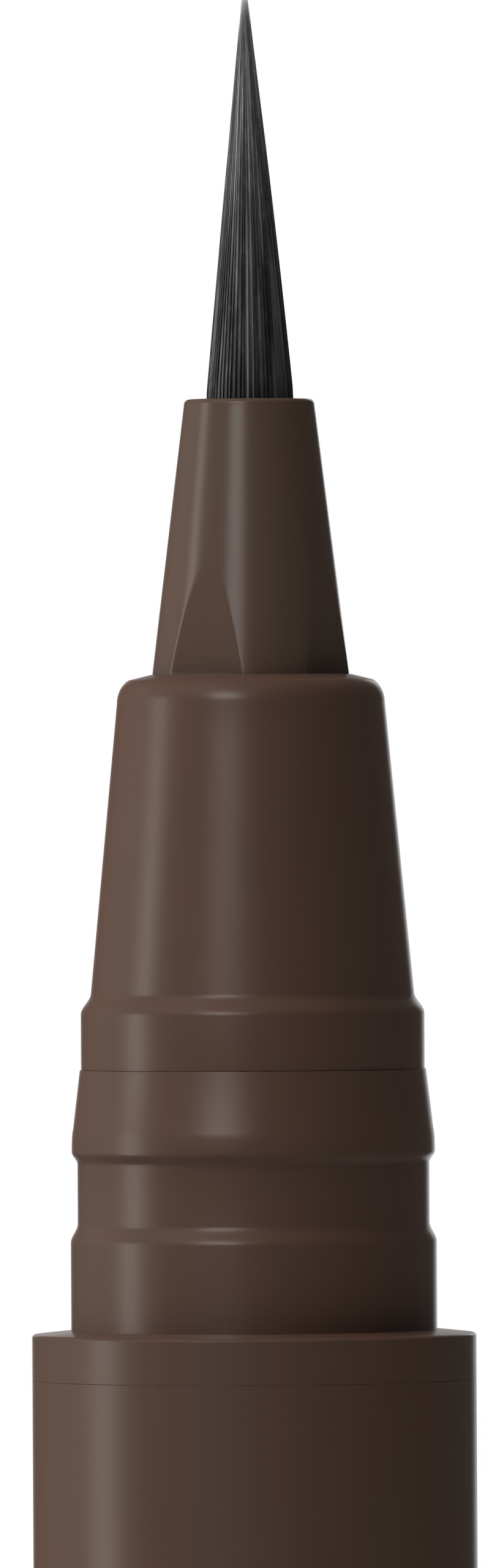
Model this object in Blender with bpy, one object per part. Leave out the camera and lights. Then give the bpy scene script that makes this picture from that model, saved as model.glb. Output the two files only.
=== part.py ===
"""An eyebrow pen with a tapered brush tip, standing upright with its cap pushed on the tail.

The pen's own heights are measured from the barrel's mouth, and the cap's from the floor.
"""

import math
import random

import bmesh
import bpy
from mathutils import Vector

MM = 0.001

# Fits between the pieces
seam = 0.03 * MM
cap_play = 0.05 * MM
weld_reach = 0.0005 * MM
cut_overrun = 1.0 * MM

# Sides of the turned pieces, steps of their arcs, and the angle from which an edge is sharp
shell_sides = 40
core_sides = 20
rod_sides = 12
ball_subdivisions = 3
corner_steps = 4
ring_curve_steps = 5
neck_curve_steps = 3
flange_corner_steps = 2
cap_end_corner_steps = 3
sharp_angle = math.radians(35)

# Ink feed
feed_rod_radius = 0.6 * MM
feed_rod_dip = 7.0 * MM
feed_rod_chamfer = 0.15 * MM

# Brush
brush_radius = 0.98 * MM
brush_length = 9.3 * MM
brush_sink = 0.1 * MM
brush_grip = 2.1 * MM
brush_tip_width_share = 0.046
strand_rows = 12
strand_columns = 13
strand_thickness_share = 0.72
shortest_strand_share = 0.78
strand_point_share = 0.22
strand_seed = 7

# Bush that holds the brush in the nose
bush_wall = 0.27 * MM
bush_feed_grip = 3.5 * MM

# Nose cone
nose_length = 6.21 * MM
nose_tip_wall = 0.444 * MM
nose_flare = 0.762 * MM
nose_corner = 0.15 * MM
nose_throat = 2.5 * MM
nose_flange_width = 0.28 * MM
nose_flat_count = 4
nose_flat_depth = 0.205 * MM
nose_flat_height = 2.2 * MM
nose_flat_angle = math.radians(-30)

# Front shell
shell_lip = 0.5 * MM
shell_wall = 0.491 * MM
shell_flare = 0.608 * MM
shell_taper_length = 6.39 * MM
shoulder_corner_width = 0.4 * MM
shoulder_corner_height = 0.5 * MM
shoulder_crown = 0.13 * MM
shell_ring_proud = 0.242 * MM
shell_ring_height = 1.02 * MM
shell_ring_curve = 0.8 * MM
seam_edge = 0.04 * MM

# Neck
bead_top_proud = 0.029 * MM
bead_swell = 0.192 * MM
bead_cone_height = 1.735 * MM
bead_crown_share = 0.24
bead_crown_width_share = 0.18
bead_undercut_height = 0.44 * MM
recess_depth = 0.129 * MM
recess_height = 1.27 * MM
collar_step = 0.159 * MM
collar_step_height = 0.5 * MM
collar_height = 2.01 * MM
neck_wall = 0.76 * MM
neck_roof = 0.9 * MM
neck_tongue_length = 3.5 * MM
neck_tongue_wall = 0.5 * MM
neck_tongue_step = 0.42 * MM
neck_tail_length = 8.0 * MM
neck_tail_chamfer = 0.2 * MM

# Seal rings and their grooves
seal_height = 0.8 * MM
seal_depth_share = 0.5
seal_inset = 1.5 * MM
seal_section_sides = 6

# Centre ring
centre_ring_height = 0.99 * MM
centre_ring_corner = 0.2 * MM
centre_ring_sleeve = 2.5 * MM
centre_ring_sleeve_share = 0.4

# Barrel
barrel_wall = 0.852 * MM
barrel_length = 94.0 * MM

# Collector
collector_fins = 12
collector_fin_share = 0.4
collector_gap = 0.1 * MM
collector_core_wall = 0.6 * MM
collector_reach = 8.0 * MM
collector_plug_height = 1.6 * MM
collector_nozzle_share = 0.8
collector_slot_width = 0.4 * MM

# Ink tank and its mixing ball
tank_wall = 0.6 * MM
tank_floor = 0.8 * MM
ball_radius = 1.5 * MM

# Tail plug
tail_plug_height = 6.0 * MM
tail_flange_height = 1.2 * MM
tail_flange_corner = 0.15 * MM
tail_post_length = 9.5 * MM
tail_post_chamfer = 0.3 * MM
tail_post_wall = 0.9 * MM
tail_post_roof = 1.6 * MM

# Cap
cap_wall_share = 0.6
cap_end_height = 1.2 * MM
cap_end_corner = 0.35 * MM
cap_end_hold = 2.8 * MM
cap_end_hold_wall_share = 0.6
cap_mouth_edge = 0.1 * MM
inner_cap_floor = 0.7 * MM
inner_cap_room = 0.6 * MM
inner_cap_well_wall = 0.6 * MM
inner_cap_well_drop = 0.77 * MM
inner_cap_lead = 0.3 * MM
inner_cap_inset = 0.1 * MM
inner_cap_cone = 0.8 * MM
inner_cap_ridge_gap = 0.06 * MM
inner_cap_ridge_height = 0.7 * MM

# Radii that follow, from the brush outwards
brush_bore = brush_radius + seam
bush_radius = brush_bore + bush_wall
feed_bore = feed_rod_radius + seam
nose_tip_radius = brush_bore + nose_tip_wall
nose_base_radius = nose_tip_radius + nose_flare
nose_flange_radius = nose_base_radius + nose_flange_width
shell_bore = nose_flange_radius + seam
shell_top_radius = shell_bore + shell_wall
shell_bottom_radius = shell_top_radius + shell_flare
shell_ring_radius = shell_bottom_radius + shell_ring_proud
bead_top_radius = shell_ring_radius + bead_top_proud
bead_radius = bead_top_radius + bead_swell
recess_radius = bead_radius - recess_depth
collar_radius = recess_radius + collar_step
barrel_bore = collar_radius + seam
barrel_radius = barrel_bore + barrel_wall
neck_bore = recess_radius - neck_wall
neck_tongue_radius = shell_bore + neck_tongue_step
tank_bore = collar_radius - tank_wall
collector_core_radius = feed_bore + collector_core_wall
collector_radius = min(neck_bore, tank_bore) - collector_gap
seal_depth = seal_depth_share * (collar_radius - neck_bore)
tail_post_radius = shell_ring_radius
cap_shell_bore = barrel_radius - cap_wall_share * (barrel_radius - collar_radius - cap_play)
inner_cap_seal_bore = shell_ring_radius + cap_play
inner_cap_well_bore = inner_cap_seal_bore - inner_cap_well_drop
inner_cap_well_radius = inner_cap_well_bore + inner_cap_well_wall

# Heights that follow, up from the barrel's mouth
recess_bottom = collar_height + collar_step_height
recess_top = recess_bottom + recess_height
bead_height = recess_top + bead_undercut_height
neck_top = bead_height + bead_cone_height
neck_tongue_top = neck_top + neck_tongue_length
shell_height = (
    shell_ring_height + shell_ring_curve + shell_taper_length + shoulder_corner_height + shoulder_crown
)
shell_bottom = neck_top + seam
shell_top = shell_bottom + shell_height
nose_top = shell_top + nose_length
brush_root_top = nose_top - brush_sink
bush_top = nose_top - nose_throat - seam
brush_root_bottom = bush_top - brush_grip
brush_tip_height = nose_top + brush_length

# Heights that follow, down from the barrel's mouth
barrel_top = -centre_ring_height - seam
barrel_bottom = barrel_top - barrel_length
neck_bottom = -neck_tail_length
tank_top = neck_bottom - seam
collector_top = neck_top - neck_roof - seam
collector_bottom = tank_top - collector_reach
feed_rod_bottom = collector_bottom - feed_rod_dip
tail_flange_top = barrel_bottom - seam
tail_flange_bottom = tail_flange_top - tail_flange_height
tail_plug_top = tail_flange_top + tail_plug_height
tank_bottom = tail_plug_top + seam

# Heights that follow, up from the floor
cap_mouth = brush_tip_height + inner_cap_room + inner_cap_floor + seam + cap_end_height
barrel_mouth = cap_mouth + seam - tail_flange_bottom


def clear_scene():
    """Removes every object of the startup scene."""
    for obj in list(bpy.data.objects):
        bpy.data.objects.remove(obj, do_unlink=True)


def finish(name, colour, roughness, metallic=0.0):
    """A plain Principled material."""
    material = bpy.data.materials.new(name)
    material.use_nodes = True
    shader = material.node_tree.nodes["Principled BSDF"]
    shader.inputs["Base Color"].default_value = (*colour, 1.0)
    shader.inputs["Roughness"].default_value = roughness
    shader.inputs["Metallic"].default_value = metallic
    return material


def frame(name, height, parent=None):
    """An empty that carries the pieces of one body."""
    empty = bpy.data.objects.new(name, None)
    empty.location.z = height
    empty.parent = parent
    bpy.context.collection.objects.link(empty)
    return empty


def piece(name, shape, material, parent, height=0.0):
    """One named sub-part made from a bmesh."""
    mesh = bpy.data.meshes.new(name)
    shape.to_mesh(mesh)
    shape.free()
    mesh.shade_smooth()
    mesh.set_sharp_from_angle(angle=sharp_angle)
    mesh.materials.append(material)
    obj = bpy.data.objects.new(name, mesh)
    obj.location.z = height
    obj.parent = parent
    bpy.context.collection.objects.link(obj)
    return obj


def turned(outline, sides):
    """A solid of revolution about Z from a half section of (radius, height) points."""
    shape = bmesh.new()
    points = [shape.verts.new((radius, 0.0, height)) for radius, height in outline]
    edges = [shape.edges.new(pair) for pair in zip(points, points[1:])]
    if outline[0][0] > 0.0:
        edges.append(shape.edges.new((points[-1], points[0])))
    bmesh.ops.spin(
        shape,
        geom=points + edges,
        cent=(0.0, 0.0, 0.0),
        axis=(0.0, 0.0, 1.0),
        angle=2.0 * math.pi,
        steps=sides,
        use_merge=True,
    )
    bmesh.ops.remove_doubles(shape, verts=shape.verts, dist=weld_reach)
    bmesh.ops.recalc_face_normals(shape, faces=shape.faces)
    return shape


def block(low, high):
    """A box between two opposite corners."""
    shape = bmesh.new()
    for vert in bmesh.ops.create_cube(shape, size=1.0)["verts"]:
        vert.co = [high[axis] if vert.co[axis] > 0.0 else low[axis] for axis in range(3)]
    return shape


def cut(target, cutter):
    """Takes the cutter's shape out of the target and hides the cutter."""
    cutter.hide_render = True
    cutter.display_type = "WIRE"
    boolean = target.modifiers.new("cut_" + cutter.name, "BOOLEAN")
    boolean.operation = "DIFFERENCE"
    boolean.object = cutter


def arc(centre, radii, start, end, steps):
    """Points of an elliptical arc from start to end degrees, both ends included."""
    angles = [math.radians(start + (end - start) * step / steps) for step in range(steps + 1)]
    return [
        (centre[0] + radii[0] * math.cos(angle), centre[1] + radii[1] * math.sin(angle))
        for angle in angles
    ]


def sway(start, end, steps):
    """Points of an S-shaped curve between two (radius, height) points, both ends included."""
    points = []
    for step in range(steps + 1):
        share = step / steps
        swing = 0.5 - 0.5 * math.cos(math.pi * share)
        points.append((start[0] + (end[0] - start[0]) * swing, start[1] + (end[1] - start[1]) * share))
    return points


def disc_point(column, row):
    """A point of the strand lattice, a square of cells drawn out to fill a round disc."""
    across = 2.0 * column / strand_columns - 1.0
    along = 2.0 * row / strand_rows - 1.0
    return Vector(
        (
            brush_radius * across * math.sqrt(1.0 - along * along / 2.0),
            brush_radius * along * math.sqrt(1.0 - across * across / 2.0),
            0.0,
        )
    )


def lattice_triangles():
    """Index triples of the lattice, two in each cell, cut along the line towards the middle."""
    triangles = []
    for row in range(strand_rows):
        for column in range(strand_columns):
            a, b = (column, row), (column + 1, row)
            c, d = (column + 1, row + 1), (column, row + 1)
            rising = (2 * column + 1 - strand_columns) * (2 * row + 1 - strand_rows) >= 0
            triangles += [(a, b, c), (a, c, d)] if rising else [(a, b, d), (b, c, d)]
    return triangles


def narrowing(height):
    """How much the tuft has narrowed at this height above its root."""
    return 1.0 - (1.0 - brush_tip_width_share) * height / (brush_length + brush_sink)


def grow_strand(shape, corners, reach):
    """One three-sided strand on its cell of the root, straight and then drawn to a point."""
    centre = sum((corner.co for corner in corners), Vector()) / len(corners)
    foot = [centre + (corner.co - centre) * strand_thickness_share for corner in corners]
    shaft_top = reach * (1.0 - strand_point_share)
    lower = [shape.verts.new(point) for point in foot]
    upper = [
        shape.verts.new(point * narrowing(shaft_top) + Vector((0.0, 0.0, shaft_top))) for point in foot
    ]
    tip = shape.verts.new(centre * narrowing(reach) + Vector((0.0, 0.0, reach)))
    for this in range(3):
        following = (this + 1) % 3
        shape.faces.new((corners[this], corners[following], lower[following], lower[this]))
        shape.faces.new((lower[this], lower[following], upper[following], upper[this]))
        shape.faces.new((upper[this], upper[following], tip))


def make_brush(material, parent):
    """The tuft of strands on the bonded root that holds them together."""
    draw = random.Random(strand_seed)
    shape = bmesh.new()
    lattice = {
        (column, row): shape.verts.new(disc_point(column, row))
        for row in range(strand_rows + 1)
        for column in range(strand_columns + 1)
    }
    full_reach = brush_length + brush_sink
    for triangle in lattice_triangles():
        corners = [lattice[index] for index in triangle]
        reach = full_reach * draw.uniform(shortest_strand_share, 1.0)
        grow_strand(shape, corners, reach)
    rim = [edge for edge in shape.edges if edge.is_boundary]
    side = bmesh.ops.extrude_edge_only(shape, edges=rim)["geom"]
    lowered = [item for item in side if isinstance(item, bmesh.types.BMVert)]
    bmesh.ops.translate(shape, verts=lowered, vec=(0.0, 0.0, brush_root_bottom - brush_root_top))
    bottom = [item for item in side if isinstance(item, bmesh.types.BMEdge)]
    bmesh.ops.edgeloop_fill(shape, edges=bottom)
    bmesh.ops.recalc_face_normals(shape, faces=shape.faces)
    piece("brush_tip", shape, material, parent, brush_root_top)


def make_brush_bush(material, parent):
    """The sleeve that grips the brush's root above and the feed rod below."""
    step = brush_root_bottom - seam
    bottom = brush_root_bottom - bush_feed_grip
    outline = [
        (bush_radius, bush_top),
        (bush_radius, bottom),
        (feed_bore, bottom),
        (feed_bore, step),
        (brush_bore, step),
        (brush_bore, bush_top),
    ]
    piece("brush_bush", turned(outline, core_sides), material, parent)


def nose_flat_cutter(parent):
    """Four leaning blocks whose inner faces leave the nose its flats."""
    slope = nose_flare / nose_length
    foot = nose_base_radius - nose_flat_depth
    lean = (nose_flat_depth - slope * nose_flat_height) / nose_flat_height
    rise = nose_length + cut_overrun
    outside = nose_base_radius + cut_overrun
    shape = bmesh.new()
    for index in range(nose_flat_count):
        angle = nose_flat_angle + index * 2.0 * math.pi / nose_flat_count
        outward = Vector((math.sin(angle), -math.cos(angle), 0.0))
        sideways = Vector((math.cos(angle), math.sin(angle), 0.0)) * outside
        corners = bmesh.ops.create_cube(shape, size=2.0)["verts"]
        for vert in corners:
            level = Vector((0.0, 0.0, rise if vert.co.z > 0.0 else 0.0))
            inner = foot + lean * level.z
            reach = inner if vert.co.y < 0.0 else outside + foot
            vert.co = outward * reach + sideways * (0.5 if vert.co.x > 0.0 else -0.5) + level
    bmesh.ops.recalc_face_normals(shape, faces=shape.faces)
    cutter = piece("nose_flat_cutter", shape, finish("cutter", (0.5, 0.5, 0.5), 0.5), parent)
    cutter.location.z = shell_top + seam
    return cutter


def make_nose_cone(material, parent):
    """The cone that the brush comes out of, with a skirt held under the front shell's lip."""
    lip_underside = shell_top - shell_lip - seam
    skirt_bottom = neck_tongue_top + seam
    bush_bore = bush_radius + seam
    bush_seat = nose_top - nose_throat
    corner_centre = (nose_tip_radius - nose_corner, nose_top - nose_corner)
    outline = [
        (nose_flange_radius, lip_underside),
        (nose_flange_radius, skirt_bottom),
        (bush_bore, skirt_bottom),
        (bush_bore, bush_seat),
        (brush_bore, bush_seat),
        (brush_bore, nose_top),
        *reversed(arc(corner_centre, (nose_corner, nose_corner), 0.0, 90.0, corner_steps)),
        (nose_base_radius, shell_top),
        (nose_base_radius, lip_underside),
    ]
    nose = piece("nose_cone", turned(outline, shell_sides), material, parent)
    cut(nose, nose_flat_cutter(parent))


def make_front_shell(material, parent):
    """The tapered shell behind the nose, from its shoulder to the ring at its lower end."""
    bore_step = neck_tongue_top - shell_bottom + seam
    lip_underside = shell_height - shell_lip
    curve_bottom = shell_ring_height
    taper_bottom = curve_bottom + shell_ring_curve
    taper_top = taper_bottom + shell_taper_length
    corner_centre = (shell_top_radius - shoulder_corner_width, taper_top)
    corner_radii = (shoulder_corner_width, shoulder_corner_height)
    ring_edge = (shell_ring_radius, curve_bottom)
    ring_curve = sway(ring_edge, (shell_bottom_radius, taper_bottom), ring_curve_steps)
    outline = [
        (nose_base_radius + seam, shell_height),
        *reversed(arc(corner_centre, corner_radii, 0.0, 90.0, corner_steps)),
        *reversed(ring_curve),
        (shell_ring_radius, seam_edge),
        (shell_ring_radius - seam_edge, 0.0),
        (neck_tongue_radius + seam, 0.0),
        (neck_tongue_radius + seam, bore_step),
        (shell_bore, bore_step),
        (shell_bore, lip_underside),
        (nose_base_radius + seam, lip_underside),
    ]
    piece("front_shell", turned(outline, shell_sides), material, parent, shell_bottom)


def seal_groove(height):
    """The square groove of a seal ring in a piece of the collar's radius, from its top edge down."""
    floor = collar_radius - seal_depth
    top, bottom = height + seal_height / 2.0, height - seal_height / 2.0
    return [(collar_radius, top), (floor, top), (floor, bottom), (collar_radius, bottom)]


def make_seal_ring(name, height, material, parent):
    """A rubber ring lying in its groove."""
    half = seal_depth / 2.0 - seam
    centre = collar_radius - seal_depth / 2.0
    tall = seal_height / 2.0 - seam
    step = 360.0 / seal_section_sides
    outline = arc((centre, 0.0), (half, tall), 0.0, 360.0 - step, seal_section_sides - 1)
    piece(name, turned(outline, shell_sides), material, parent, height)


def make_neck(material, parent):
    """The holder with the collar, the recess and the bead that the cap snaps over."""
    roof = neck_top - neck_roof
    tongue_bore = neck_tongue_radius - neck_tongue_wall
    crown_radius = bead_radius - bead_crown_width_share * bead_swell
    crown_height = bead_height + bead_crown_share * bead_cone_height
    outline = [
        (neck_tongue_radius, neck_tongue_top),
        (neck_tongue_radius, neck_top),
        (bead_top_radius - seam_edge, neck_top),
        (bead_top_radius, neck_top - seam_edge),
        (crown_radius, crown_height),
        *sway((bead_radius, bead_height), (recess_radius, recess_top), neck_curve_steps),
        *sway((recess_radius, recess_bottom), (collar_radius, collar_height), neck_curve_steps),
        *seal_groove(neck_bottom + seal_inset),
        (collar_radius, neck_bottom + neck_tail_chamfer),
        (collar_radius - neck_tail_chamfer, neck_bottom),
        (neck_bore, neck_bottom),
        (neck_bore, roof),
        (tongue_bore, roof),
        (tongue_bore, neck_tongue_top),
    ]
    piece("neck", turned(outline, shell_sides), material, parent)


def make_centre_ring(material, parent):
    """The ring on the barrel's mouth, with a thin sleeve let into the barrel."""
    sleeve_radius = barrel_bore + centre_ring_sleeve_share * barrel_wall
    sleeve_bottom = barrel_top - centre_ring_sleeve
    corner_centre = (barrel_radius - centre_ring_corner, -centre_ring_corner)
    corner_radii = (centre_ring_corner, centre_ring_corner)
    outline = [
        (barrel_bore, 0.0),
        *reversed(arc(corner_centre, corner_radii, 0.0, 90.0, corner_steps)),
        (barrel_radius, -centre_ring_height),
        (sleeve_radius, -centre_ring_height),
        (sleeve_radius, sleeve_bottom),
        (barrel_bore, sleeve_bottom),
    ]
    piece("centre_ring", turned(outline, shell_sides), material, parent)


def make_barrel(material, parent):
    """The long tube that is held in the hand."""
    sleeve_bore = barrel_bore + centre_ring_sleeve_share * barrel_wall + seam
    sleeve_seat = -centre_ring_sleeve - seam
    outline = [
        (barrel_radius, 0.0),
        (barrel_radius, -barrel_length),
        (barrel_bore, -barrel_length),
        (barrel_bore, sleeve_seat),
        (sleeve_bore, sleeve_seat),
        (sleeve_bore, 0.0),
    ]
    piece("barrel", turned(outline, shell_sides), material, parent, barrel_top)


def make_feed_rod(material, parent):
    """The fibre rod that draws ink from the tank to the brush's root."""
    top = brush_root_bottom - 2.0 * seam
    blunt = feed_rod_radius - feed_rod_chamfer
    outline = [
        (0.0, top),
        (feed_rod_radius, top),
        (feed_rod_radius, feed_rod_bottom + feed_rod_chamfer),
        (blunt, feed_rod_bottom),
        (0.0, feed_rod_bottom),
    ]
    piece("feed_rod", turned(outline, rod_sides), material, parent)


def make_collector(material, parent):
    """The comb of discs that holds back surplus ink, slotted down one side."""
    plug_radius = tank_bore - seam
    plug_top = collector_bottom + collector_plug_height
    pitch = (collector_top - plug_top) / collector_fins
    nozzle_top = collector_top + collector_nozzle_share * (neck_tongue_top - collector_top)
    outline = [(feed_bore, nozzle_top), (collector_core_radius, nozzle_top)]
    for index in range(collector_fins):
        fin_top = collector_top - index * pitch
        fin_bottom = fin_top - collector_fin_share * pitch
        outline.append((collector_core_radius, fin_top))
        outline.append((collector_radius, fin_top))
        outline.append((collector_radius, fin_bottom))
        outline.append((collector_core_radius, fin_bottom))
    outline += [
        (collector_core_radius, plug_top),
        (plug_radius, plug_top),
        (plug_radius, collector_bottom),
        (feed_bore, collector_bottom),
    ]
    collector = piece("collector", turned(outline, core_sides), material, parent)
    low = (-collector_slot_width / 2.0, -collector_radius - cut_overrun, plug_top + seam)
    high = (collector_slot_width / 2.0, -collector_core_radius - seam, collector_top + cut_overrun)
    cut(collector, piece("collector_slot_cutter", block(low, high), material, parent))


def make_ink_tank(material, parent):
    """The liner that holds the ink and the mixing ball, open at the collector."""
    outline = [
        (0.0, tank_bottom + tank_floor),
        (tank_bore, tank_bottom + tank_floor),
        (tank_bore, tank_top),
        (collar_radius, tank_top),
        (collar_radius, tank_bottom),
        (0.0, tank_bottom),
    ]
    piece("ink_tank", turned(outline, shell_sides), material, parent)


def make_mixing_ball(material, parent):
    """The steel ball that stirs the ink, resting on the tank's floor."""
    shape = bmesh.new()
    bmesh.ops.create_icosphere(shape, subdivisions=ball_subdivisions, radius=ball_radius)
    height = tank_bottom + tank_floor + seam + ball_radius
    piece("mixing_ball", shape, material, parent, height)


def make_tail_plug(material, parent):
    """The plug that closes the barrel, with the post that the cap is pushed on."""
    post_bottom = tail_flange_bottom - tail_post_length
    post_bore = tail_post_radius - tail_post_wall
    corner_centre = (barrel_radius - tail_flange_corner, tail_flange_bottom + tail_flange_corner)
    corner_radii = (tail_flange_corner, tail_flange_corner)
    outline = [
        (0.0, tail_plug_top),
        (collar_radius - neck_tail_chamfer, tail_plug_top),
        (collar_radius, tail_plug_top - neck_tail_chamfer),
        *seal_groove(tail_plug_top - seal_inset),
        (collar_radius, tail_flange_top),
        (barrel_radius, tail_flange_top),
        *arc(corner_centre, corner_radii, 0.0, -90.0, flange_corner_steps),
        (tail_post_radius, tail_flange_bottom),
        (tail_post_radius, post_bottom + tail_post_chamfer),
        (tail_post_radius - tail_post_chamfer, post_bottom),
        (post_bore, post_bottom),
        (post_bore, tail_flange_bottom - tail_post_roof),
        (0.0, tail_flange_bottom - tail_post_roof),
    ]
    piece("tail_plug", turned(outline, shell_sides), material, parent)


def make_cap_shell(material, parent):
    """The cap's outer tube."""
    bottom = cap_end_height + seam
    outline = [
        (barrel_radius - cap_mouth_edge, cap_mouth),
        (barrel_radius, cap_mouth - cap_mouth_edge),
        (barrel_radius, bottom),
        (cap_shell_bore, bottom),
        (cap_shell_bore, cap_mouth),
    ]
    piece("cap_shell", turned(outline, shell_sides), material, parent)


def make_cap_end(material, parent):
    """The closed end that the cap stands on, with a hoop let into the outer tube."""
    hold_radius = cap_shell_bore - seam
    hold_bore = hold_radius - cap_end_hold_wall_share * (hold_radius - inner_cap_well_radius)
    hold_top = cap_end_height + cap_end_hold
    corner_centre = (barrel_radius - cap_end_corner, cap_end_corner)
    corner_radii = (cap_end_corner, cap_end_corner)
    outline = [
        (0.0, cap_end_height),
        (hold_bore, cap_end_height),
        (hold_bore, hold_top),
        (hold_radius, hold_top),
        (hold_radius, cap_end_height),
        (barrel_radius, cap_end_height),
        *arc(corner_centre, corner_radii, 0.0, -90.0, cap_end_corner_steps),
        (0.0, 0.0),
    ]
    piece("cap_end", turned(outline, shell_sides), material, parent)


def make_inner_cap(material, parent):
    """The airtight inner cap: a skirt that snaps over the bead, and a well round the brush."""
    skirt_radius = cap_shell_bore - seam
    skirt_bore = collar_radius + cap_play
    ridge_bore = recess_radius + inner_cap_ridge_gap
    ridge_middle = cap_mouth - (recess_bottom + recess_top) / 2.0
    ridge_half = inner_cap_ridge_height / 2.0
    seal_top = cap_mouth - neck_top
    cone_top = cap_mouth - shell_top - inner_cap_room
    cone_bottom = cone_top - inner_cap_cone
    top = cap_mouth - inner_cap_inset
    bottom = cap_end_height + seam
    outline = [
        (0.0, bottom),
        (inner_cap_well_radius, bottom),
        (inner_cap_well_radius, cone_bottom),
        (skirt_radius, cone_top),
        (skirt_radius, top),
        (skirt_bore + inner_cap_inset, top),
        (skirt_bore, top - inner_cap_lead),
        (skirt_bore, ridge_middle + ridge_half),
        (ridge_bore, ridge_middle),
        (skirt_bore, ridge_middle - ridge_half),
        (skirt_bore, seal_top + inner_cap_lead),
        (inner_cap_seal_bore, seal_top),
        (inner_cap_seal_bore, cone_top),
        (inner_cap_well_bore, cone_bottom),
        (inner_cap_well_bore, bottom + inner_cap_floor),
        (0.0, bottom + inner_cap_floor),
    ]
    piece("inner_cap", turned(outline, shell_sides), material, parent)


def main():
    """Builds the pen on its cap."""
    clear_scene()
    brown = finish("dark_brown_plastic", (0.085, 0.045, 0.033), 0.3)
    nose_brown = finish("nose_brown_plastic", (0.08, 0.042, 0.031), 0.26)
    filament = finish("black_filament", (0.018, 0.018, 0.02), 0.4)
    natural = finish("natural_plastic", (0.72, 0.71, 0.67), 0.45)
    fibre = finish("feed_fibre", (0.62, 0.58, 0.5), 0.85)
    rubber = finish("seal_rubber", (0.03, 0.03, 0.032), 0.7)
    steel = finish("ball_steel", (0.62, 0.62, 0.64), 0.2, 1.0)
    cap = frame("cap_frame", 0.0)
    pen = frame("pen_frame", barrel_mouth, cap)
    make_cap_end(brown, cap)
    make_cap_shell(brown, cap)
    make_inner_cap(natural, cap)
    make_brush(filament, pen)
    make_brush_bush(natural, pen)
    make_nose_cone(nose_brown, pen)
    make_front_shell(brown, pen)
    make_neck(brown, pen)
    make_seal_ring("neck_seal", neck_bottom + seal_inset, rubber, pen)
    make_centre_ring(brown, pen)
    make_barrel(brown, pen)
    make_feed_rod(fibre, pen)
    make_collector(natural, pen)
    make_ink_tank(natural, pen)
    make_mixing_ball(steel, pen)
    make_tail_plug(brown, pen)
    make_seal_ring("tail_seal", tail_plug_top - seal_inset, rubber, pen)


main()
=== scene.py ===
"""Looks of an eyebrow pen with a brush tip: smooth turned shells, a tuft of filaments and their finishes."""

import math

import bmesh
import bpy
from mathutils import Matrix, Vector


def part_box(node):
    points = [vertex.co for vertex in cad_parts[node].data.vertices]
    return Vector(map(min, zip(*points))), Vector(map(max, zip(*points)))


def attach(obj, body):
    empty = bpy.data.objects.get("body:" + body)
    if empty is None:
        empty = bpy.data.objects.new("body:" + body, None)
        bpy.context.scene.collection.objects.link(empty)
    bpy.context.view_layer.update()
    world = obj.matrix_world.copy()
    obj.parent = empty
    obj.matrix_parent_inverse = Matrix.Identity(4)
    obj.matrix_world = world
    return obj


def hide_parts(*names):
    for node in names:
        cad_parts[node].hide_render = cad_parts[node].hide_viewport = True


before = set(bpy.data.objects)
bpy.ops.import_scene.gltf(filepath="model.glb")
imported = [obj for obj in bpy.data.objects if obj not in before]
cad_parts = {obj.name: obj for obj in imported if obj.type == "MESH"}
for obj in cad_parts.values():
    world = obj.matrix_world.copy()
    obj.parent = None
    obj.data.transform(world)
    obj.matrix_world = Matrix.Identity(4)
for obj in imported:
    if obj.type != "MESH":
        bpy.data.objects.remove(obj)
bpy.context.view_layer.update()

MM = 0.001

# Camera, from the photograph: its scale, its lean and where the pen's middle stands
frame_width_px = 792
frame_height_px = 2560
photo_px_per_metre = 72.55 / MM
photo_mouth_px = 2178
photo_middle_px = 410.4
camera_distance = 0.45
camera_sensor = 36.0
camera_near = 0.01
camera_far = 100.0
camera_roll = math.radians(0.31)

# Fits and edges
play = 0.03 * MM
hairline = 0.005 * MM
small_edge = 0.04 * MM
fine_edge = 0.018 * MM
seam_edge = 0.007 * MM
weld_reach = 0.0002 * MM
spindle = 1.0 * MM

# Sides of the turned pieces, steps of their arcs, and turns in degrees
fine_sides = 224
nose_sides = 320
plain_sides = 96
arc_steps = 12
edge_steps = 4
flange_corner_steps = 6
sharp_angle = math.radians(50)
quarter_turn = 90.0
full_turn = 360

# Nose cone
nose_tip_wall = 0.462 * MM
nose_corner = 0.115 * MM
nose_base_wall = 1.206 * MM
nose_throat = 2.5 * MM
nose_bush_wall = 0.3 * MM
nose_taper_steps = 72
flat_count = 4
flat_turn = math.radians(-30)
flat_depth = 0.205 * MM
flat_height = 2.44 * MM
flat_softness = 0.016 * MM

# Front shell
lip_height = 0.5 * MM
shell_wall = 0.491 * MM
shell_flare = 0.608 * MM
shell_taper_length = 6.39 * MM
shell_taper_steps = 8
shoulder_width = 0.46 * MM
shoulder_height = 0.58 * MM
shoulder_drop = 0.05 * MM
shoulder_start = 65.0
lip_rise = 0.02 * MM
flare_drop = 0.11 * MM
ring_height = 1.22 * MM

# Neck
bead_top_proud = 0.029 * MM
bead_swell = 0.192 * MM
bead_height = 1.735 * MM
bead_crown_share = 0.24
bead_crown_width_share = 0.18
bead_crown_drop = 0.12 * MM
bead_crown_steps = 6
undercut_height = 0.44 * MM
undercut_ease = 0.1 * MM
undercut_foot = 0.065 * MM
recess_depth = 0.129 * MM
recess_height = 1.27 * MM
collar_step_height = 0.5 * MM
collar_step_lift = 0.06 * MM
tongue_wall = 0.5 * MM
tongue_step = 0.42 * MM
neck_wall = 0.76 * MM
neck_roof = 0.9 * MM
tail_chamfer = 0.2 * MM
seal_height = 0.8 * MM
seal_inset = 1.5 * MM
seal_depth_share = 0.5

# Centre ring and barrel
mouth_corner = 0.1 * MM
mouth_corner_start = 80.0
mouth_corner_end = 25.0
mouth_corner_drop = 0.08 * MM
mouth_crown = 0.10 * MM
ring_sleeve_share = 0.4

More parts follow.
